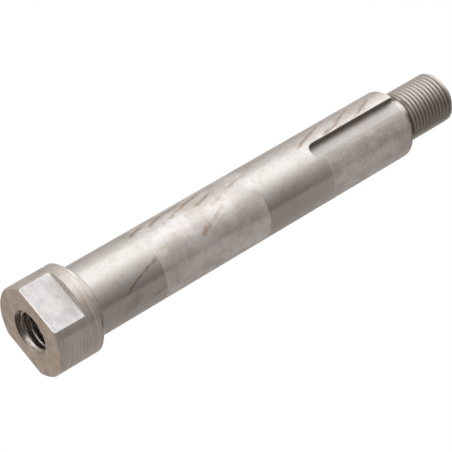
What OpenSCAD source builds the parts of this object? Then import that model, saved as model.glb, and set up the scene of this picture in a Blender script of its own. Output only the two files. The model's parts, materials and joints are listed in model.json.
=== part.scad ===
// Spindle shaft of one turned and ground steel bar.
// It stands on its head: Z runs up the axis from the centre of the head's end face.
// The wrench flats and the keyway both face along X.
// The screw threads are left off: the stud is drawn at its crests, the hole at its crests.

/* [Head] */

// Diameter over the round part of the head
head_d = 32.4; // [30:0.1:38]

// Distance across the two milled wrench flats
flats_across = 26.2; // [23:0.1:28]

// Length of the wrench flats, from the end face
flats_len = 12.4; // [8:0.1:18]

// Length of the full round lip behind the flats
lip_len = 4.6; // [2:0.1:8]

// Height of the narrow step between the taper's small end and the journal
taper_step = 0.5; // [0.2:0.1:1]

// Chamfer round the end face
face_chamfer = 0.5; // [0.2:0.1:1]

/* [Journal] */

// Diameter of the ground journal, a one inch size
journal_d = 25.4; // [23:0.1:27]

// Length of the journal, from the head to the shoulder face
journal_len = 139; // [90:1:200]

// Chamfer at the shoulder
shoulder_chamfer = 1.8; // [0.5:0.1:2.2]

/* [Keyway] */

// Width of the keyway, for a quarter inch key
keyway_w = 6.35; // [5:0.05:8]

// Depth of the keyway's floor under the crown of the journal
keyway_depth = 3.6; // [3:0.1:4]

// Length of the keyway, from its round end to the shoulder face
keyway_len = 42; // [25:1:60]

/* [Threaded stud] */

// Diameter over the stud's thread crests, three quarters of an inch less its clearance
stud_d = 18.8; // [17:0.1:20]

// Length of the stud, from the shoulder face to its end
stud_len = 22.5; // [16:0.1:40]

// Width of the relief neck between the shoulder and the thread
neck_w = 3; // [2:0.1:4]

// Depth of the relief neck below the thread crests
neck_depth = 1.1; // [0.8:0.1:1.5]

// Chamfer at the end of the stud
stud_chamfer = 1.8; // [1:0.1:3]

// Mouth diameter of the lathe centre in the end of the stud
centre_d = 6; // [4:0.1:8]

/* [Tapped hole] */

// Diameter at the crests of the hole's thread, five eighths of an inch at its mouth
hole_d = 13.5; // [11:0.1:15]

// Depth of the hole at its full diameter
hole_depth = 36; // [20:1:60]

// Diameter of the countersink where it meets the end face
hole_mouth_d = 16.3; // [15.5:0.1:18]

/* [Hidden] */

STEEL = [0.66, 0.63, 0.6];
ROUND = 96;          // above twelve sides a circle is a true circle
CUT = 1;             // how far a cutting solid runs past the face that it opens
POINT_ANGLE = 118;   // included angle of a drill's point
CENTRE_ANGLE = 60;   // included angle of a lathe centre
CENTRE_DRILL = 0.4;  // pilot of the lathe centre, as a share of its mouth
FLANK_ANGLE = 30;    // slope of a thread's flank, and of the neck's thread side

head_r = head_d / 2;
journal_r = journal_d / 2;
stud_r = stud_d / 2;
hole_r = hole_d / 2;

// Along the axis, from the end face
taper_end_r = journal_r + taper_step;
taper_len = head_r - taper_end_r;
lip_end_z = flats_len + lip_len;
head_end_z = lip_end_z + taper_len;
shoulder_z = head_end_z + journal_len;
thread_z = shoulder_z + neck_w;
total_len = shoulder_z + stud_len;

// The neck, whose far side rises to the thread like a flank
neck_r = stud_r - neck_depth;
neck_end_z = thread_z - neck_depth * tan(FLANK_ANGLE);

// The keyway
keyway_floor_x = journal_r - keyway_depth;
keyway_round_z = shoulder_z - keyway_len + keyway_w / 2;
keyway_open_z = shoulder_z + neck_w / 2;

// The lathe centre
centre_r = centre_d / 2;
pilot_r = centre_r * CENTRE_DRILL;
centre_depth = (centre_r - pilot_r) / tan(CENTRE_ANGLE / 2);
pilot_depth = centre_depth + 2 * pilot_r;

// Half of the bar's section, turned about the axis
module turned_bar() {
    rotate_extrude($fn = ROUND)
        polygon([
            [0, 0],
            [head_r - face_chamfer, 0],
            [head_r, face_chamfer],
            [head_r, lip_end_z],
            [taper_end_r, head_end_z],
            [journal_r, head_end_z],
            [journal_r, shoulder_z - shoulder_chamfer],
            [journal_r - shoulder_chamfer, shoulder_z],
            [neck_r, shoulder_z],
            [neck_r, neck_end_z],
            [stud_r, thread_z],
            [stud_r, total_len - stud_chamfer],
            [stud_r - stud_chamfer, total_len],
            [0, total_len]
        ]);
}

// What the milling cutter takes off one side of the head, as far as the lip
module flat_cut() {
    translate([flats_across / 2, -head_d / 2 - CUT, -CUT])
        cube([head_d / 2, head_d + 2 * CUT, flats_len + CUT]);
}

// Tapped hole with its countersunk mouth and the cone of the drill's point
module tapped_hole() {
    countersink_len = hole_mouth_d / 2 - hole_r;
    point_len = hole_r / tan(POINT_ANGLE / 2);
    rotate_extrude($fn = ROUND)
        polygon([
            [0, -CUT],
            [hole_r + countersink_len + CUT, -CUT],
            [hole_r, countersink_len],
            [hole_r, hole_depth],
            [0, hole_depth + point_len]
        ]);
}

// Lathe centre in the end of the stud, on which the bar turned while it was ground
module lathe_centre() {
    point_len = pilot_r / tan(POINT_ANGLE / 2);
    translate([0, 0, total_len])
        rotate_extrude($fn = ROUND)
            polygon([
                [0, CUT],
                [centre_r + CUT * tan(CENTRE_ANGLE / 2), CUT],
                [pilot_r, -centre_depth],
                [pilot_r, -pilot_depth],
                [0, -pilot_depth - point_len]
            ]);
}

// Path of the end mill: a blind round end, then straight out through the shoulder
module keyway() {
    translate([keyway_floor_x, -keyway_w / 2, keyway_round_z])
        cube([keyway_depth + CUT, keyway_w, keyway_open_z - keyway_round_z]);
    translate([keyway_floor_x, 0, keyway_round_z])
        rotate([0, 90, 0])
            cylinder(d = keyway_w, h = keyway_depth + CUT, $fn = ROUND);
}

module shaft() {
    color(STEEL)
        difference() {
            turned_bar();
            flat_cut();
            mirror([1, 0, 0])
                flat_cut();
            tapped_hole();
            lathe_centre();
            keyway();
        }
}

shaft();
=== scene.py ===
# Spindle shaft of one steel bar, turned, ground, milled and threaded.
# It stands on its head, with Z up its axis and X out of its keyway.
import json
import math
import bmesh
import bpy
from mathutils import Matrix, Vector


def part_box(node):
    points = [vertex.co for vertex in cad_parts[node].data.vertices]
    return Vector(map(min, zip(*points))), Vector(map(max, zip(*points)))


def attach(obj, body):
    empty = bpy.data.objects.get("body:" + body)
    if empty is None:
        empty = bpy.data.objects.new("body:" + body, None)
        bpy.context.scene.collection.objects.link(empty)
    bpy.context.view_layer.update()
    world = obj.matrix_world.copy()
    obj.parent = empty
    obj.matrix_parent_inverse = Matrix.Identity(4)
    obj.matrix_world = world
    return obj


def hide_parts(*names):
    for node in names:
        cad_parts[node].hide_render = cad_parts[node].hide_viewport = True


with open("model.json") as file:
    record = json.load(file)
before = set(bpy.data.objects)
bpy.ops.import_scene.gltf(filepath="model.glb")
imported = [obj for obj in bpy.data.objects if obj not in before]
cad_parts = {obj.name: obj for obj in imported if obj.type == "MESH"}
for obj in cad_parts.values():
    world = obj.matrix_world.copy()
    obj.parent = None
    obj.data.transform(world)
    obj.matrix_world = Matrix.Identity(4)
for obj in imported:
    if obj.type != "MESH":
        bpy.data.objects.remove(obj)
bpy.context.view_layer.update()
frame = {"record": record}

# Head: the thick end that a wrench holds. It is turned round, and two flats are
# milled across it. Behind them a full lip is left, and a short taper runs down to
# the journal. Its end face is faced off square, round the mouth of the tapped hole.
MM = 0.001
MOUNTS = {mount["name"]: mount for mount in frame["record"]["mounts"]}
head_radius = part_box("shaft")[1].y
journal_radius = MOUNTS["journal"]["dims"]["r_mm"] * MM
journal_start = MOUNTS["journal"]["pos_m"][2] - MOUNTS["journal"]["dims"]["length_mm"] / 2 * MM
flat_out = MOUNTS["wrench_flat_front"]["pos_m"][0]
flat_length = 12.4 * MM
cutter_corner = 0.45 * MM
lip_end = 17.0 * MM
taper_step = 0.5 * MM
taper_foot = journal_radius + taper_step
face_chamfer = 0.5 * MM
edge = 0.12 * MM
mouth_radius = 8.15 * MM
before_corner = 0.05 * MM
crowding = 1.085
weld_gap = 0.0005 * MM
sharp_angle = math.radians(32)
FLAT_STEPS = 24
ROUND_STEPS = 84
CORNER_STEPS = 6


def around(radius, angle, height):
    """A point at that angle round the axis."""
    return Vector((radius * math.cos(angle), radius * math.sin(angle), height))


def eased(profile, size, steps=3):
    """A turned profile of (radius, height) points, with its inner corners rounded over that size."""
    points = [Vector(profile[0])]
    for before, corner, after in zip(profile, profile[1:], profile[2:]):
        corner = Vector(corner)
        start = corner + (Vector(before) - corner).normalized() * size
        end = corner + (Vector(after) - corner).normalized() * size
        for step in range(steps + 1):
            t = step / steps
            points.append(start * (1 - t) ** 2 + corner * 2 * t * (1 - t) + end * t ** 2)
    points.append(Vector(profile[-1]))
    return points


def head_ring(height, radius, flat, cap=None):
    """An outline of the head: its flats, an eased corner at each end of them, and its round sides.
    Behind the flats, their points lie on the circle of radius cap. Each flat has points close to
    its edges, so that its shading stays flat."""
    corner = math.acos(flat / radius)
    half = radius * math.sin(corner) - edge
    first = corner + edge / radius
    points = []
    for side in (1, -1):
        for step in range(FLAT_STEPS + 1):
            along = half * (2 * step / FLAT_STEPS - 1)
            if 0 < step < FLAT_STEPS:
                along *= crowding
            out = flat if cap is None else max(flat, math.sqrt(cap ** 2 - along ** 2))
            points.append(Vector((side * out, side * along, height)))
        for step in range(ROUND_STEPS + 1):
            angle = first + (math.pi - 2 * first) * step / ROUND_STEPS
            points.append(around(side * radius, angle, height))
    return points


def circle_like(ring, radius, height):
    """A circle whose points lie in the same directions as those of a ring."""
    points = []
    for point in ring:
        out = Vector((point.x, point.y, 0)).normalized() * radius
        points.append(Vector((out.x, out.y, height)))
    return points


def skin(name, rings):
    """A piece whose surface runs from ring to ring. All rings have as many points."""
    count = len(rings[0])
    faces = []
    for lower in range(len(rings) - 1):
        for step in range(count):
            after = (step + 1) % count
            a, b = lower * count + step, lower * count + after
            faces.append((a, b, b + count, a + count))
    return plated(name, [point for ring in rings for point in ring], faces)


def plated(name, points, faces):
    """A piece of those faces, with doubled points welded and its true edges kept sharp."""
    mesh = bpy.data.meshes.new(name)
    mesh.from_pydata([tuple(point) for point in points], [], faces)
    welded = bmesh.new()
    welded.from_mesh(mesh)
    bmesh.ops.remove_doubles(welded, verts=welded.verts, dist=weld_gap)
    welded.to_mesh(mesh)
    welded.free()
    mesh.shade_smooth()
    mesh.set_sharp_from_angle(angle=sharp_angle)
    piece = bpy.data.objects.new(name, mesh)
    bpy.context.scene.collection.objects.link(piece)
    return piece


def belongs(piece):
    """The piece is a part of the shaft's surface."""
    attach(piece, "root")
    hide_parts("shaft")


class Tone:
    """What one node gives: a number, a colour or a direction that varies over a surface."""

    def __init__(self, finish, source, output):
        self.finish = finish
        self.source = source
        self.socket = source.outputs[output]

    def also(self, output):
        """Another output of the same node."""
        return Tone(self.finish, self.source, output)

    def worked(self, operation, first, second):
        return self.finish.node("ShaderNodeMath", {"operation": operation}, {0: first, 1: second})

    def __add__(self, other):
        return self.worked("ADD", self, other)

    def __radd__(self, other):
        return self.worked("ADD", other, self)

    def __sub__(self, other):
        return self.worked("SUBTRACT", self, other)

    def __rsub__(self, other):
        return self.worked("SUBTRACT", other, self)

    def __mul__(self, other):
        return self.worked("MULTIPLY", self, other)

    def __rmul__(self, other):
        return self.worked("MULTIPLY", other, self)

    def __truediv__(self, other):
        return self.worked("DIVIDE", self, other)

    def __abs__(self):
        return self.finish.node("ShaderNodeMath", {"operation": "ABSOLUTE"}, {0: self})


class Finish:
    """A surface finish in the making: the nodes of a material or of the studio's surroundings."""

    def __init__(self, owner):
        owner.use_nodes = True
        self.owner = owner
        self.tree = owner.node_tree
        self.tree.nodes.clear()

    def node(self, kind, settings, sockets, output=0):
        """Adds a node: its settings first, then the values or links of its sockets."""
        made = self.tree.nodes.new(kind)
        for name, value in settings.items():
            if name == "stops":
                self.set_stops(made.color_ramp.elements, value)
            else:
                setattr(made, name, value)
        for name, value in sockets.items():
            if isinstance(value, Tone):
                self.tree.links.new(value.socket, made.inputs[name])
            else:
                made.inputs[name].default_value = value
        return Tone(self, made, output) if made.outputs else None

    def set_stops(self, elements, stops):
        """Gives a ramp its stops, each a place from 0 to 1 and a colour."""
        while len(elements) < len(stops):
            elements.new(1)
        for element, (place, colour) in zip(elements, stops):
            element.position = place
            element.color = (*colour, 1)

    def point(self):
        """Where a point of the surface lies, in metres."""
        return self.node("ShaderNodeTexCoord", {}, {}, "Object")

    def split(self, point):
        """A point's X. Its Y and Z are the same node's other outputs."""
        return self.node("ShaderNodeSeparateXYZ", {}, {"Vector": point}, "X")

    def from_axis(self, place):
        """How far a split point lies from the Z axis."""
        across = self.node("ShaderNodeCombineXYZ", {}, {"X": place, "Y": place.also("Y")})
        return self.node("ShaderNodeVectorMath", {"operation": "LENGTH"}, {0: across}, "Value")

    def grain(self, point, stretch, detail=3, harsh=0.55):
        """Noise from 0 to 1 whose grains are that many to the metre along X, Y and Z."""
        place = self.node("ShaderNodeVectorMath", {"operation": "MULTIPLY"}, {0: point, 1: stretch})
        return self.node(
            "ShaderNodeTexNoise", {},
            {"Vector": place, "Scale": 1, "Detail": detail, "Roughness": harsh})

    def rise(self, value, start, end):
        """0 on the side of start, 1 on the side of end, and smooth between the two."""
        return self.node(
            "ShaderNodeMapRange", {"interpolation_type": "SMOOTHSTEP"},
            {"Value": value, "From Min": start, "From Max": end})

    def blend(self, share, colour, other):
        """One colour turning into another, as share goes from 0 to 1."""
        return self.node(
            "ShaderNodeMix", {"data_type": "RGBA"},
            {0: share, 6: self.full(colour), 7: self.full(other)}, 2)

    def full(self, colour):
        """A colour as a socket takes it."""
        return colour if isinstance(colour, Tone) else (*colour, 1)

    def bare_metal(self, colour, bright, roughness, height, depth, spread):
        """Ends in bare steel. Where it isn't all bright, a thin dull film lies on it. Its marks are
        that deep, and it spreads light along the bar."""
        normal = self.node("ShaderNodeBump", {}, {"Distance": depth, "Height": height})
        shader = self.node(
            "ShaderNodeBsdfPrincipled", {},
            {"Base Color": self.full(colour), "Metallic": bright, "Roughness": roughness,
             "Normal": normal, "Anisotropic": spread, "Anisotropic Rotation": 0.25})
        self.node("ShaderNodeOutputMaterial", {}, {"Surface": shader})
        return self.owner


def turned_steel(name, dullness, spread, polish):
    """Lathe-turned steel: rings round the axis, with dark and light scratches that follow them.
    Polish turns it from dull to white."""
    finish = Finish(bpy.data.materials.new(name))
    point = finish.point()
    height = finish.split(point).also("Z")
    rings = finish.grain(point, (35, 35, 1100), 3, 0.6)
    scratches = finish.grain(point, (70, 70, 1500), 2, 0.5)
    patches = finish.grain(point, (260, 260, 160))
    dark = finish.rise(scratches, 0.58, 0.72)
    light = finish.rise(scratches, 0.40, 0.28)
    shade = rings * 0.6 + patches * 0.4
    colour = finish.blend(finish.rise(shade, 0.35, 0.65), (0.56, 0.51, 0.465), (0.69, 0.65, 0.61))
    colour = finish.blend(dark * 0.4, colour, (0.33, 0.285, 0.25))
    colour = finish.blend(light * 0.3, colour, (0.84, 0.81, 0.78))
    colour = finish.blend(polish, colour, (0.95, 0.925, 0.90))
    # Painted shade: the colour darkens at the taper's foot, in the corner against the journal.
    corner = finish.rise(height, journal_start - 0.9 * MM, journal_start - 0.2 * MM)
    colour = finish.blend(corner * 0.4, colour, (0.22, 0.18, 0.15))
    # Painted highlight: the colour is lighter and less metallic on the chamfer round the end face.
    edge_highlight = finish.rise(height, face_chamfer * 1.15, face_chamfer * 0.7)
    colour = finish.blend(edge_highlight * 0.6, colour, (0.84, 0.77, 0.69))
    roughness = dullness + rings * 0.08 + patches * 0.06
    marks = rings + scratches
    return finish.bare_metal(colour, 0.86 - edge_highlight * 0.3, roughness, marks, 0.003 * MM, spread)


def milled_steel():
    """Milled steel: bright, with the soft overlapping blotches that the cutter leaves. Its edges carry
    a painted white highlight, and close to the lip it is painted lighter, as painted light against the
    shade of the lip's wall."""
    finish = Finish(bpy.data.materials.new("milled_steel"))
    point = finish.point()
    place = finish.split(point)
    sweeps = finish.grain(point, (330, 300, 330), 2, 0.5)
    strokes = finish.grain(point, (300, 60, 1700), 3, 0.6)
    streaks = finish.grain(point, (300, 1100, 110), 2, 0.5)
    shade = finish.rise(sweeps, 0.34, 0.62) * 0.35 + strokes * 0.3 + streaks * 0.35
    colour = finish.blend(finish.rise(shade, 0.2, 0.75), (0.67, 0.665, 0.67), (0.86, 0.845, 0.835))
    # Painted light: close to the lip the colour turns near white and less metallic, to lighten the
    # shade of the lip's wall.
    painted_light_by_lip = finish.rise(place.also("Z"), flat_length - 2.2 * MM, flat_length - 0.8 * MM)
    colour = finish.blend(painted_light_by_lip, colour, (1.0, 0.99, 0.985))
    side_edge = math.sqrt(head_radius ** 2 - flat_out ** 2)
    # Painted highlight: the colour turns near white along the flat's front edge and, more weakly, along
    # its side edges.
    beside = finish.rise(abs(place.also("Y")), side_edge - 0.4 * MM, side_edge - 0.15 * MM)
    flat_edge_highlight = finish.rise(place.also("Z"), 0.55 * MM, 0.35 * MM) + beside * 0.5
    colour = finish.blend(flat_edge_highlight, colour, (1.0, 0.99, 0.97))
    roughness = 0.40 + sweeps * 0.12
    return finish.bare_metal(colour, 0.22 - painted_light_by_lip * 0.2, roughness, strokes, 0.003 * MM, 0.0)


def faced_steel():
    """The faced-off end: rings round its centre, under a thin brown bloom."""
    finish = Finish(bpy.data.materials.new("faced_steel"))
    point = finish.point()
    place = finish.split(point)
    radius = finish.from_axis(place)
    rings = finish.grain(
        finish.node("ShaderNodeCombineXYZ", {}, {"X": radius, "Y": place * 0.02}), (3500, 3500, 1), 3)
    bloom = finish.grain(point, (200, 200, 200), 4, 0.6)
    colour = finish.blend(
        finish.rise(bloom * 0.75 + rings * 0.25, 0.36, 0.62), (0.59, 0.50, 0.40), (0.77, 0.68, 0.585))
    # Painted highlight: the colour is lighter in a ring round the mouth of the tapped hole.
    edge_highlight = finish.rise(radius, mouth_radius + 0.25 * MM, mouth_radius + 0.05 * MM)
    colour = finish.blend(edge_highlight * 0.5, colour, (0.85, 0.81, 0.76))
    roughness = 0.30 + rings * 0.08
    return finish.bare_metal(colour, 0.86, roughness, rings, 0.003 * MM, 0.0)


head_rings = [head_ring(0, head_radius - face_chamfer, flat_out - edge)]
head_rings.insert(0, circle_like(head_rings[0], mouth_radius, 0))
head_rings.append(head_ring(edge, head_radius - face_chamfer + edge, flat_out))
head_rings.append(head_ring(face_chamfer, head_radius, flat_out))
head_rings.append(head_ring(flat_length - cutter_corner - before_corner, head_radius, flat_out))
for step in range(CORNER_STEPS + 1):
    turn = math.pi / 2 * step / CORNER_STEPS
    head_rings.append(head_ring(
        flat_length - cutter_corner * (1 - math.sin(turn)), head_radius,
        flat_out + cutter_corner * (1 - math.cos(turn))))
flat_foot = flat_out + cutter_corner
head_rings.append(head_ring(flat_length, head_radius, flat_foot, head_radius - edge))
full_ring = head_ring(flat_length + edge, head_radius, flat_foot, head_radius)
head_rings.append(full_ring)
head_profile = [
    (head_radius, flat_length + edge),
    (head_radius, lip_end),
    (taper_foot, journal_start),
    (journal_radius, journal_start),
]
for radius, height in eased(head_profile, edge)[1:]:
    head_rings.append(circle_like(full_ring, radius, height))
head = skin("head", head_rings)
head_finishes = (
    turned_steel("turned_steel", 0.13, 0.6, 0.0), milled_steel(), faced_steel(),
    turned_steel("taper_steel", 0.05, 0.3, 0.5))
for finish in head_finishes:
    head.data.materials.append(finish)
for face in head.data.polygons:
    if abs(face.normal.x) > 0.99 and face.center.z < flat_length:
        face.material_index = 1
    elif face.normal.z < -0.99 and face.center.z < edge:
        face.material_index = 2
    elif face.center.z > lip_end + edge:
        face.material_index = 3
belongs(head)

# Tapped hole: a coarse right-hand thread for the clamping bolt, cut into a hole that
# was drilled up the bar and countersunk at its mouth. The tap leaves bright crests,
# and the grooves between them stay dark with oil.
hole_radius = MOUNTS["tapped_hole"]["dims"]["r_mm"] * MM
hole_pitch = 25.4 / 11 * MM
hole_groove = 1.19 * MM
hole_crest_share, hole_root_share = 0.25, 0.16
hole_first_crest = 1.05 * MM
lead_start = 0.5 * MM
lead_length = 0.9 * MM
run_out = 1.5 * hole_pitch
hole_thread_end = 29 * MM
hole_end = 36 * MM
mouth_rounding = 0.45 * MM
crest_facing = math.radians(21)
flank_bow = 0.04
drill_point = math.radians(118)
HOLE_STEPS = 160


def groove(turns, crest_share, root_share):
    """Depth of a V groove, from 0 on a crest to 1 in a root, that many turns from a crest."""
    away = abs(turns - round(turns))
    t = (away - crest_share / 2) / (0.5 - root_share / 2 - crest_share / 2)
    t = min(max(t, 0), 1)
    return t - flank_bow * math.sin(2 * math.pi * t)


def thread_rows(crest_share, root_share):
    """Places of the mesh's rows in one turn of a thread, close together where it bends."""
    crest, root = crest_share / 2, 0.5 - root_share / 2
    flank = root - crest
    side = [crest + flank * share for share in (0, 0.12, 0.3, 0.7, 0.88, 1)]
    return [0, *side, 0.5, *(1 - place for place in reversed(side))]


def threaded(start, end, pitch, steps, rows, radius_at):
    """Points and faces of a turned surface whose mesh winds up the bar with a right-hand thread.
    radius_at gives its radius at an angle and a height."""
    turns = math.ceil((end - start) / pitch) + 2
    places = [turn + row for turn in range(turns) for row in rows]
    count = len(places)
    points = []
    for step in range(steps):
        angle = 2 * math.pi * step / steps
        for place in places:
            height = min(max(start + (place - 1 + step / steps) * pitch, start), end)
            points.append(around(radius_at(angle, height), angle, height))
    faces = []
    for step in range(steps):
        after = (step + 1) % steps
        ahead = len(rows) if after == 0 else 0
        for row in range(count - 1 - ahead):
            a, b = step * count + row, after * count + row + ahead
            faces.append((a, b, b + 1, a + 1))
    return points, faces


def hole_radius_at(angle, height):
    """The hole's wall: its thread, which runs out at both ends, and the countersink of its mouth,
    with the corner between the two rounded off."""
    turns = (height - hole_first_crest) / hole_pitch - (angle - crest_facing) / (2 * math.pi)
    fade = min(max((hole_thread_end - height) / run_out, 0), 1)
    lead = min(max((height - lead_start) / lead_length, 0), 1)
    wall = hole_radius + hole_groove * fade * lead * groove(turns, hole_crest_share, hole_root_share)
    cone = mouth_radius - height
    rounding = max(mouth_rounding - abs(wall - cone), 0) ** 2 / (4 * mouth_rounding)
    return max(wall, cone) + rounding


def hole_steel():
    """The hole's wall: bright crests, with cutting oil left dark in the grooves, and painted shade deep
    inside.
    """
    finish = Finish(bpy.data.materials.new("hole_steel"))
    point = finish.point()
    place = finish.split(point)
    radius = finish.from_axis(place)
    height = place.also("Z")
    oil = finish.grain(point, (500, 500, 500))
    depth = (radius - hole_radius) / hole_groove + (oil - 0.5) * 0.2
    deep = finish.rise(depth, 0.72, 1.0) * finish.rise(height, mouth_radius - hole_radius, 1.6 * MM)
    # Painted shade: the colour darkens deep inside the hole.
    inside = finish.rise(height, 6 * MM, 16 * MM)
    colour = finish.blend(deep, (0.84, 0.80, 0.76), (0.29, 0.235, 0.19))
    mouth = finish.rise(abs(radius + height - mouth_radius), 0.2 * MM, 0.06 * MM)
    colour = finish.blend(mouth * 0.9, colour, (0.56, 0.49, 0.42))
    colour = finish.blend(inside, colour, (0.14, 0.115, 0.095))
    roughness = 0.15 + oil * 0.12 + mouth * 0.15
    return finish.bare_metal(colour, 0.97, roughness, oil, 0.002 * MM, 0.0)


hole_rows = thread_rows(hole_crest_share, hole_root_share)
wall_points, wall_faces = threaded(0, hole_end, hole_pitch, HOLE_STEPS, hole_rows, hole_radius_at)
tip = len(wall_points)
wall_points.append(Vector((0, 0, hole_end + hole_radius / math.tan(drill_point / 2))))
wall_faces = [tuple(reversed(face)) for face in wall_faces]
per_step = tip // HOLE_STEPS
for step in range(HOLE_STEPS):
    a, b = (step + 1) * per_step - 1, ((step + 1) % HOLE_STEPS + 1) * per_step - 1
    wall_faces.append((b, a, tip))
tapped_hole = plated("tapped_hole", wall_points, wall_faces)
tapped_hole.data.materials.append(hole_steel())
belongs(tapped_hole)

# Journal: the long cylinder that the bearings and the pulley sit on. It is ground all
# along, and once more where each bearing sits. An end mill cut the keyway, from its
# round blind end out through the shoulder, whose rim is chamfered and deburred.
shoulder = MOUNTS["shoulder_face"]["pos_m"][2]
shoulder_chamfer = 1.8 * MM
neck_radius = 8.3 * MM
key_floor = MOUNTS["keyway_floor"]["pos_m"][0]
key_half = 6.35 / 2 * MM
key_start = 117 * MM
bearing_seats = ((20.0 * MM, 46.4 * MM), (91.4 * MM, 120.3 * MM))
key_edge = 0.08 * MM
rim_rounding = 0.9 * MM
neck_rim = math.radians(22)
slack = 0.01 * MM
SIDE_SHARES = [0, 0.0004, *(step / 180 for step in range(1, 180)), 0.9996, 1]
FLOOR_STEPS = 10
WALL_STEPS = 3
PLAIN_STEPS = 24
END_STEPS = 14
RIM_STEPS = 5


def plain_ring(height, radius, rim):
    """A full circle. As many of its points lie within the angle rim of the keyway's middle
    as the keyway's section has."""
    points = []
    for share in SIDE_SHARES:
        points.append(around(radius, rim + (2 * math.pi - 2 * rim) * share, height))
    inner = FLOOR_STEPS + 2 * WALL_STEPS + 2
    for step in range(1, inner):
        points.append(around(radius, -rim + 2 * rim * step / inner, height))
    return points


def slotted_ring(height, radius, half):
    """A circle with the keyway's walls and floor in it, half wide on either side."""
    rim = math.asin((half + key_edge) / radius)
    top = radius * math.cos(rim) - key_edge
    points = []
    for share in SIDE_SHARES:
        points.append(around(radius, rim + (2 * math.pi - 2 * rim) * share, height))
    for step in range(WALL_STEPS):
        points.append(Vector((top + (key_floor - top) * step / WALL_STEPS, -half, height)))
    for step in range(FLOOR_STEPS + 1):
        points.append(Vector((key_floor, half * (2 * step / FLOOR_STEPS - 1), height)))
    for step in range(WALL_STEPS - 1, -1, -1):
        points.append(Vector((top + (key_floor - top) * step / WALL_STEPS, half, height)))
    return points


# Streaks of dried coolant, wiped on in one slanting direction. Each has the height and
# azimuth of its two ends, its width in millimetres, and how strong it is.
STREAKS = (
    (114.0, -17, 122.0, -33, 1.5, 1.4),
    (121.5, -32, 128.5, -41, 1.6, 1.2),
    (125.0, -16, 134.0, -26, 1.4, 1.2),
    (133.0, -25, 141.0, -41, 1.5, 1.2),
    (140.0, -41, 147.0, -46, 1.8, 0.4),
    (139.5, -16, 144.0, -23, 1.3, 0.7),
    (143.0, -21, 151.0, -39, 1.6, 1.3),
    (73.0, -6, 80.0, -17, 1.3, 0.7),
    (82.5, -21, 92.0, -29, 1.7, 0.9),
    (92.0, -30, 97.0, -39, 1.7, 0.4),
    (64.3, 25, 70.0, 16, 2.0, 1.0),
    (69.0, 17, 78.5, 1, 1.4, 0.7),
    (43.0, -35, 51.0, -44, 2.0, 1.2),
    (51.0, -31, 59.0, -45, 1.7, 1.4),
    (58.0, -43, 68.0, -50, 2.2, 0.9),
    (58.0, -25, 65.0, -34, 1.4, 0.8),
    (64.0, -33, 77.0, -48, 1.7, 1.4),
    (68.5, -20, 77.5, -32, 1.5, 1.2),
    (54.5, -19, 57.5, -26, 1.3, 0.5),
    (30.3, 45, 39.0, 29, 1.0, 1.4),
    (38.0, 30, 47.0, 18, 1.3, 1.1),
    (38.0, 77, 47.0, 64, 1.1, 0.8),
    (47.0, 14, 58.0, 11, 1.4, 0.4),
    (99.0, -23, 104.5, -30, 1.9, 0.35),
    (106.0, -32, 112.5, -43, 2.1, 0.45),
    (28.0, 72, 37.0, 57, 5.5, 0.6),
    (126.0, 88, 152.0, 62, 9.0, 0.3),
    (41.0, -8, 44.0, -13, 1.7, 0.35),
    (60.0, 152, 78.0, 128, 1.8, 0.9),
    (66.0, 176, 80.0, 160, 1.6, 0.7),
    (98.0, -118, 114.0, -142, 1.8, 0.9),
    (132.0, 174, 148.0, 150, 1.6, 0.8),
    (34.0, -96, 50.0, -120, 2.0, 0.7),
)


def facing(finish, place):
    """The angle round the Z axis at which a split point lies."""
    return finish.node("ShaderNodeMath", {"operation": "ARCTAN2"}, {0: place.also("Y"), 1: place})


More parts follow.
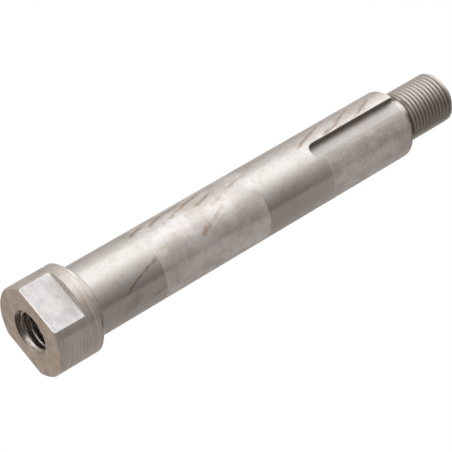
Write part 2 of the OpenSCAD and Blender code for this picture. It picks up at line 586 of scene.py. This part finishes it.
def journal_steel():
    """Ground steel: very fine rings, bright bearing seats, a dull film between them, and stains."""
    finish = Finish(bpy.data.materials.new("journal_steel"))
    point = finish.point()
    place = finish.split(point)
    height = place.also("Z")
    girth = facing(finish, place) * journal_radius
    rings = finish.grain(point, (30, 30, 1300), 3, 0.6)
    scratches = finish.grain(point, (14, 14, 1400), 2, 0.5)
    clouds = finish.grain(point, (150, 150, 110), 4, 0.62)
    mottle = finish.grain(point, (520, 520, 420), 3, 0.6)
    seats = 0
    rims = 0
    for start, end in bearing_seats:
        seats = seats + (
            finish.rise(height, start - 0.1 * MM, start + 0.1 * MM)
            - finish.rise(height, end - 0.1 * MM, end + 0.1 * MM))
        rims = rims + finish.rise(abs(height - end - 0.15 * MM), 0.22 * MM, 0.1 * MM)
    seats = seats * (1 - finish.rise(height, 103 * MM, 117 * MM) * 0.4)
    sway = (finish.grain(point, (170, 170, 170), 2) - 0.5) * 2.4 * MM
    quiver = (finish.grain(point, (700, 700, 700), 2) - 0.5) * 0.5 * MM
    spot = finish.node("ShaderNodeCombineXYZ", {}, {"X": height, "Y": girth + sway + quiver})
    stains = 0
    for low, low_facing, high, high_facing, width, strength in STREAKS:
        rise = (high - low) * MM
        run = math.radians(high_facing - low_facing) * journal_radius
        middle = ((low + high) / 2 * MM, math.radians(low_facing + high_facing) / 2 * journal_radius, 0)
        inside = finish.node(
            "ShaderNodeMapping", {"vector_type": "TEXTURE"},
            {"Vector": spot, "Location": middle, "Rotation": (0, 0, math.atan2(run, rise)),
             "Scale": (math.hypot(rise, run) * 0.56, width * 0.6 * MM, 1)})
        inside = finish.split(inside)
        ends = finish.rise(abs(inside), 1.12, 0.4)
        sides = finish.rise(abs(inside.also("Y")), 1.2, 0.1)
        stains = stains + ends * sides * strength
    stains = stains * (finish.rise(mottle, 0.25, 0.6) * 0.5 + 0.5)
    shade = clouds * 0.82 + rings * 0.18
    colour = finish.blend(finish.rise(shade, 0.38, 0.62), (0.62, 0.58, 0.555), (0.785, 0.76, 0.745))
    colour = finish.blend(seats * 0.85, colour, (0.665, 0.645, 0.62))
    colour = finish.blend(finish.rise(mottle, 0.50, 0.76) * 0.36, colour, (0.50, 0.40, 0.31))
    colour = finish.blend(finish.rise(scratches, 0.55, 0.75) * 0.08, colour, (0.42, 0.38, 0.34))
    colour = finish.blend(rims * 0.14, colour, (0.88, 0.85, 0.82))
    colour = finish.blend(finish.rise(stains, 0.0, 1.2) * 0.75, colour, (0.38, 0.28, 0.18))
    bright = 0.80 + seats * 0.18 - rims * 0.06
    roughness = 0.24 + clouds * 0.05 + rings * 0.03 - seats * 0.05
    roughness = roughness + finish.rise(stains, 0.0, 1.0) * 0.08
    marks = rings * 0.7 + mottle * 0.6
    return finish.bare_metal(colour, bright, roughness, marks, 0.0012 * MM, 0.7)


def keyway_steel(name, dark, light):
    """The milled slot: straight cutter marks that run along the bar, and painted shade in its corners.
    """
    finish = Finish(bpy.data.materials.new(name))
    point = finish.point()
    strokes = finish.grain(point, (1700, 1700, 70), 3, 0.6)
    patches = finish.grain(point, (300, 300, 160))
    side = finish.split(point).also("Y")
    # Painted shade: the colour darkens towards the keyway's walls, more towards +Y.
    wall_shade = finish.rise(side, -0.2 * MM, -key_half) * 0.3 + finish.rise(side, 0.2 * MM, key_half) * 0.5
    colour = finish.blend(finish.rise(strokes * 0.6 + patches * 0.4, 0.35, 0.65), dark, light)
    colour = finish.blend(wall_shade, colour, (0.26, 0.225, 0.19))
    roughness = 0.38 + strokes * 0.08
    return finish.bare_metal(colour, 0.86, roughness, strokes, 0.003 * MM, 0.0)


key_round = key_start + key_half
fan_start = key_start - key_half
full_rim = math.asin((key_half + key_edge) / journal_radius)
journal_rings = []
for step in range(PLAIN_STEPS):
    height = journal_start + (fan_start - key_edge - journal_start) * step / PLAIN_STEPS
    journal_rings.append(plain_ring(height, journal_radius, full_rim))
for step in range(END_STEPS + 1):
    half = key_half * math.cos(math.pi / 2 * step / END_STEPS)
    height = fan_start + key_half * math.sin(math.pi / 2 * step / END_STEPS)
    journal_rings.append(plain_ring(
        height - key_edge, journal_radius, math.asin((half + key_edge) / journal_radius)))
for step in range(END_STEPS + 1):
    half = key_half * math.sin(math.pi / 2 * step / END_STEPS)
    height = key_round - key_half * math.cos(math.pi / 2 * step / END_STEPS)
    journal_rings.append(slotted_ring(height, journal_radius, half))
rim_profile = [
    (journal_radius, key_round),
    (journal_radius, shoulder - shoulder_chamfer),
    (journal_radius - shoulder_chamfer, shoulder),
    (neck_radius, shoulder),
]
for radius, height in eased(rim_profile, rim_rounding, RIM_STEPS)[1:-1]:
    journal_rings.append(slotted_ring(height, radius, key_half))
journal_rings.append(plain_ring(shoulder, neck_radius, neck_rim))
journal = skin("journal", journal_rings)
journal.data.materials.append(journal_steel())
journal.data.materials.append(keyway_steel("keyway_floor", (0.57, 0.545, 0.525), (0.67, 0.645, 0.625)))
# Painted shade: the walls get a much darker copy of the keyway's finish than its floor.
journal.data.materials.append(keyway_steel("keyway_walls", (0.23, 0.185, 0.145), (0.32, 0.265, 0.215)))
for face in journal.data.polygons:
    in_slot = abs(face.center.y) < key_half + slack and face.center.x > key_floor - slack
    sunk = math.hypot(face.center.x, face.center.y) < journal_radius - 0.2 * MM
    if in_slot and sunk and face.center.z > key_start - slack and abs(face.normal.z) < 0.99:
        face.material_index = 1 if face.normal.x > 0.9 else 2
belongs(journal)

# Threaded stud: a fine right-hand thread for the clamping nut, screw-cut with a single
# point between a relief neck at the shoulder and a chamfered end. The end keeps the
# lathe centre on which the bar turned.
stud_radius = MOUNTS["threaded_stud"]["dims"]["r_mm"] * MM
stud_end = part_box("shaft")[1].z
stud_pitch = 25.4 / 16 * MM
stud_groove = 0.94 * MM
stud_crest_share, stud_root_share = 0.16, 0.20
stud_first_crest = 162.0 * MM
stud_chamfer = 1.8 * MM
neck_end = 161.36 * MM
flank_slope = math.tan(math.radians(30))
centre_radius = 3.0 * MM
pilot_radius = 1.2 * MM
pilot_point = 0.7 * MM
STUD_STEPS = 208


def stud_radius_at(angle, height):
    """The stud's surface: its thread, cut off by the neck's flank and by the end's chamfer."""
    turns = (height - stud_first_crest) / stud_pitch - (angle - crest_facing) / (2 * math.pi)
    crest = stud_radius - stud_groove * groove(turns, stud_crest_share, stud_root_share)
    flank = neck_radius + max(height - neck_end, 0) / flank_slope
    bevel = stud_radius - max(height - (stud_end - stud_chamfer), 0)
    return min(crest, flank, bevel)


def thread_steel():
    """The stud's thread: worn crests, and grooves with a little brown oil left in their roots."""
    finish = Finish(bpy.data.materials.new("thread_steel"))
    point = finish.point()
    place = finish.split(point)
    radius = finish.from_axis(place)
    height = place.also("Z")
    oil = finish.grain(point, (420, 420, 420), 4)
    scratches = finish.grain(point, (90, 90, 3500))
    depth = (stud_radius - radius) / stud_groove + (oil - 0.5) * 0.3
    threads = finish.rise(height, neck_end - 0.1 * MM, neck_end + 0.3 * MM)
    bevel_start = stud_end - stud_chamfer
    threads = threads * finish.rise(height, bevel_start + 0.5 * MM, bevel_start)
    deep = finish.rise(depth, 0.25, 0.95) * threads
    # Painted shade: the relief neck is painted dark round the stud, except where the keyway's open end
    # faces it.
    neck_shade = finish.rise(abs(facing(finish, place)), math.radians(12), math.radians(28))
    neck_shade = neck_shade * finish.rise(height, neck_end + 0.5 * MM, neck_end)
    colour = finish.blend(threads, (0.70, 0.665, 0.63), (0.82, 0.79, 0.745))
    colour = finish.blend(deep, colour, (0.21, 0.172, 0.138))
    colour = finish.blend(neck_shade * 0.85, colour, (0.20, 0.155, 0.12))
    roughness = 0.22 + oil * 0.08 + scratches * 0.05
    return finish.bare_metal(colour, 0.92, roughness, scratches, 0.003 * MM, 0.0)


stud_rows = thread_rows(stud_crest_share, stud_root_share)
stud_points, stud_faces = threaded(
    shoulder, stud_end, stud_pitch, STUD_STEPS, stud_rows, stud_radius_at)
cone_foot = stud_end - (centre_radius - pilot_radius) / flank_slope
pilot_foot = cone_foot - 2 * pilot_radius
end_profile = [
    (stud_radius - stud_chamfer, stud_end),
    (centre_radius, stud_end),
    (pilot_radius, cone_foot),
    (pilot_radius, pilot_foot),
    (0, pilot_foot - pilot_point),
]
first_end_point = len(stud_points)
for radius, height in end_profile:
    for step in range(STUD_STEPS):
        stud_points.append(around(radius, 2 * math.pi * step / STUD_STEPS, height))
for ring in range(len(end_profile) - 1):
    for step in range(STUD_STEPS):
        after = (step + 1) % STUD_STEPS
        a = first_end_point + ring * STUD_STEPS + step
        b = first_end_point + ring * STUD_STEPS + after
        stud_faces.append((a, b, b + STUD_STEPS, a + STUD_STEPS))
stud = plated("stud", stud_points, stud_faces)
stud.data.materials.append(thread_steel())
belongs(stud)

# Floor: a plain pale sheet under the end face. It is seen from above only, so that the
# photograph's camera, which looks up at the end face, sees plain white round the shaft.
floor_half = 4.0
floor_drop = 0.02 * MM
floor_mesh = bpy.data.meshes.new("floor")
floor_mesh.from_pydata(
    [(-floor_half, -floor_half, 0), (floor_half, -floor_half, 0),
     (floor_half, floor_half, 0), (-floor_half, floor_half, 0)], [], [(0, 1, 2, 3)])
floor = bpy.data.objects.new("floor", floor_mesh)
floor.location.z = -floor_drop
bpy.context.scene.collection.objects.link(floor)
floor.visible_glossy = False
floor.visible_diffuse = False
floor.visible_transmission = False
floor.visible_shadow = False


def pale_sheet():
    """Matt pale paper, clear from below."""
    finish = Finish(bpy.data.materials.new("pale_sheet"))
    below = finish.node("ShaderNodeNewGeometry", {}, {}, "Backfacing")
    paper = finish.node("ShaderNodeBsdfDiffuse", {}, {"Color": (0.80, 0.80, 0.79, 1)})
    clear = finish.node("ShaderNodeBsdfTransparent", {}, {})
    sheet = finish.node("ShaderNodeMixShader", {}, {0: below, 1: paper, 2: clear})
    finish.node("ShaderNodeOutputMaterial", {}, {"Surface": sheet})
    return finish.owner


floor_mesh.materials.append(pale_sheet())

# Studio: white to the camera. The steel is lit by one broad soft panel on the keyway's
# side, a grey room round it, and a dark gap between the two. Two soft lights besides
# reach only its dull film and the floor.
PANEL_STOPS = (
    (-180, 0.40), (-129, 0.56), (-112, 0.55), (-98, 0.72), (-82, 0.84), (-68, 1.04), (-56, 1.34),
    (-30, 1.40), (-18, 1.32), (-8, 1.12), (4, 0.88), (15, 0.70), (27, 0.50), (39, 0.37),
    (51, 0.29), (63, 0.22), (72, 0.20), (75, 0.34), (110, 0.33), (180, 0.38),
)
TABLE_STOPS = (
    (-180, 0.46), (-138, 0.50), (-112, 0.38), (-88, 0.42), (-60, 0.62), (-45, 0.85), (-33, 1.38),
    (-10, 1.38), (8, 0.60), (30, 0.12), (60, 0.04), (145, 0.04), (165, 0.38), (180, 0.46),
)
FOOT_STOPS = (
    (-180, 0.20), (-135, 0.40), (-112, 0.90), (-98, 1.38), (-82, 1.38), (-62, 0.50), (-33, 0.38),
    (0, 0.28), (50, 0.03), (110, 0.03), (135, 0.20), (180, 0.20),
)
TOP_STOPS = (
    (-180, 0.02), (-164, 0.03), (-156, 1.38), (-130, 1.40), (-110, 1.10), (-60, 1.30), (-10, 1.10),
    (27, 0.45), (75, 0.20), (150, 0.05), (180, 0.03),
)
panel_white = 1.4
warmth = 0.17


def room():
    """The light round the shaft, by azimuth: below it, above it, under its foot and high overhead,
    and dark straight down. The dimmer a wall, the warmer it is. To the camera all is plain white."""
    finish = Finish(bpy.data.worlds.new("studio"))
    way = finish.node("ShaderNodeTexCoord", {}, {}, "Generated")
    way = finish.split(way)
    height = way.also("Z")
    turn = facing(finish, way) / (2 * math.pi) + 0.5
    bands = []
    for light_stops in (TABLE_STOPS, PANEL_STOPS, FOOT_STOPS, TOP_STOPS):
        stops = []
        for azimuth, light in light_stops:
            level = light / panel_white
            warm = warmth * (1 - level)
            colour = (level, level * (1 - warm * 0.75), level * (1 - warm * 1.2))
            stops.append(((azimuth + 180) / 360, colour))
        bands.append(finish.node("ShaderNodeValToRGB", {"stops": stops}, {"Fac": turn}))
    table, panel, foot, top = bands
    walls = finish.blend(finish.rise(height, -0.30, 0.12), table, panel)
    walls = finish.blend(finish.rise(height, -0.62, -0.80), walls, foot)
    walls = finish.blend(finish.rise(height, -0.955, -0.995) * 0.85, walls, (0.03, 0.03, 0.03))
    walls = finish.blend(finish.rise(height, 0.60, 0.74), walls, top)
    lit = finish.node("ShaderNodeBackground", {}, {"Color": walls, "Strength": panel_white})
    white = finish.node("ShaderNodeBackground", {}, {"Color": (1, 1, 1, 1), "Strength": 1})
    seen = finish.node("ShaderNodeLightPath", {}, {}, "Is Camera Ray")
    both = finish.node("ShaderNodeMixShader", {}, {0: seen, 1: lit, 2: white})
    finish.node("ShaderNodeOutputWorld", {}, {"Surface": both})
    return finish.owner


bpy.context.scene.world = room()


def soft_light(name, source, strength, spread):
    """Light from that side of the studio, as soft as that angle, which the steel doesn't mirror."""
    data = bpy.data.lights.new(name, "SUN")
    data.energy = strength
    data.angle = math.radians(spread)
    light = bpy.data.objects.new(name, data)
    light.rotation_mode = "QUATERNION"
    light.rotation_quaternion = Vector(source).to_track_quat("Z", "Y")
    light.visible_glossy = False
    bpy.context.scene.collection.objects.link(light)


soft_light("overhead_light", (0.55, -0.55, 0.95), 0.5, 30)
soft_light("side_light", (0.10, 1.05, 0.05), 2.2, 24)

# Camera: where the photographer stood, a long lens away, looking at the end face from
# below and at the keyway from beside it.
camera_place = Vector((635.78, 246.55, -295.29)) * MM
camera_aim = Vector((0, 2.36, 80.47)) * MM
picture_up = Vector((0.53742, -0.71760, 0.44298))
camera_data = bpy.data.cameras.new("camera")
camera_data.sensor_width = 36
camera_data.lens = 185.48
camera_data.clip_start = 0.05
camera_data.clip_end = 20
camera = bpy.data.objects.new("camera", camera_data)
ahead = (camera_aim - camera_place).normalized()
right = ahead.cross(picture_up).normalized()
axes = Matrix((right, right.cross(ahead), -ahead)).transposed()
camera.matrix_world = Matrix.Translation(camera_place) @ axes.to_4x4()
bpy.context.scene.collection.objects.link(camera)
bpy.context.scene.camera = camera
bpy.context.scene.view_settings.view_transform = "Standard"
